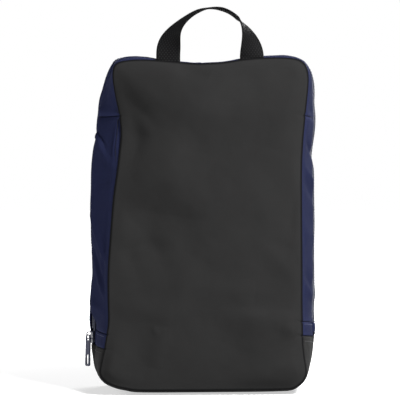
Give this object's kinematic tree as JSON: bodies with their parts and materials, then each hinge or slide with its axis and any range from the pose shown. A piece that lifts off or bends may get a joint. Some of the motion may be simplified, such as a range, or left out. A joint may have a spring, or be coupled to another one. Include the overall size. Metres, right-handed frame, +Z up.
{
  "type": "golf shoe bag",
  "caption": "Soft upright shoe bag with a coated back and boot, woven gussets, a zip round a hinged front lid and a webbing top handle.",
  "frame": {"origin": "on the floor, in the middle of the flat base", "axes": "+Z up, +Y from the plain back panel towards the lid, +X to the right when facing the back panel"},
  "size_m": [0.245, 0.1175, 0.4033],
  "materials": {
    "coated_cloth": "satin",
    "woven_cloth": "matte",
    "webbing": "matte",
    "zip_tape": "matte",
    "zip_coil": "satin",
    "zip_metal": "satin",
    "binding": "matte"
  },
  "bodies": {
    "root": {"back_panel": "coated_cloth", "boot_front": "coated_cloth", "base_panel": "coated_cloth", "top_gusset": "woven_cloth", "boot_left": "coated_cloth", "side_band_left": "woven_cloth", "side_gusset_left": "woven_cloth", "boot_right": "coated_cloth", "side_band_right": "woven_cloth", "side_gusset_right": "woven_cloth", "zip_tape_body": "zip_tape", "zip_coil_body": "zip_coil", "zip_stop_body": "zip_coil", "zip_end_tab": "woven_cloth", "back_seam_binding": "binding"},
    "lid": {"lid_panel": "woven_cloth", "lid_gusset_top": "woven_cloth", "lid_gusset_left": "woven_cloth", "lid_gusset_right": "woven_cloth", "zip_tape_lid": "zip_tape", "zip_coil_lid": "zip_coil", "zip_stop_lid": "zip_coil", "lid_seam_binding": "binding"},
    "slider": {"slider_body": "zip_metal", "slider_bail": "zip_metal"},
    "pull": {"pull_tab": "zip_metal"},
    "handle": {"handle_webbing": "webbing"}
  },
  "joints": [
    {"name": "lid_open", "type": "hinge", "parent": "root", "child": "lid", "pos_m": [0, 0.052, 0.0505], "axis": [-1, 0, 0], "range_deg": [0, 95]},
    {"name": "slider_travel", "type": "slide", "parent": "root", "child": "slider", "axis": [0, 0, 1], "range_m": [0, 0.187]},
    {"name": "pull_swing", "type": "hinge", "parent": "slider", "child": "pull", "pos_m": [-0.1218, 0.01324, 0.0574], "axis": [-0.6157, 0.788, 0], "range_deg": [0, 165]},
    {"name": "handle_fold", "type": "hinge", "parent": "root", "child": "handle", "pos_m": [0.0055, -0.053, 0.3506], "axis": [1, 0, 0], "range_deg": [-55, 95], "stiffness_Nm_per_rad": 0.02}
  ]
}
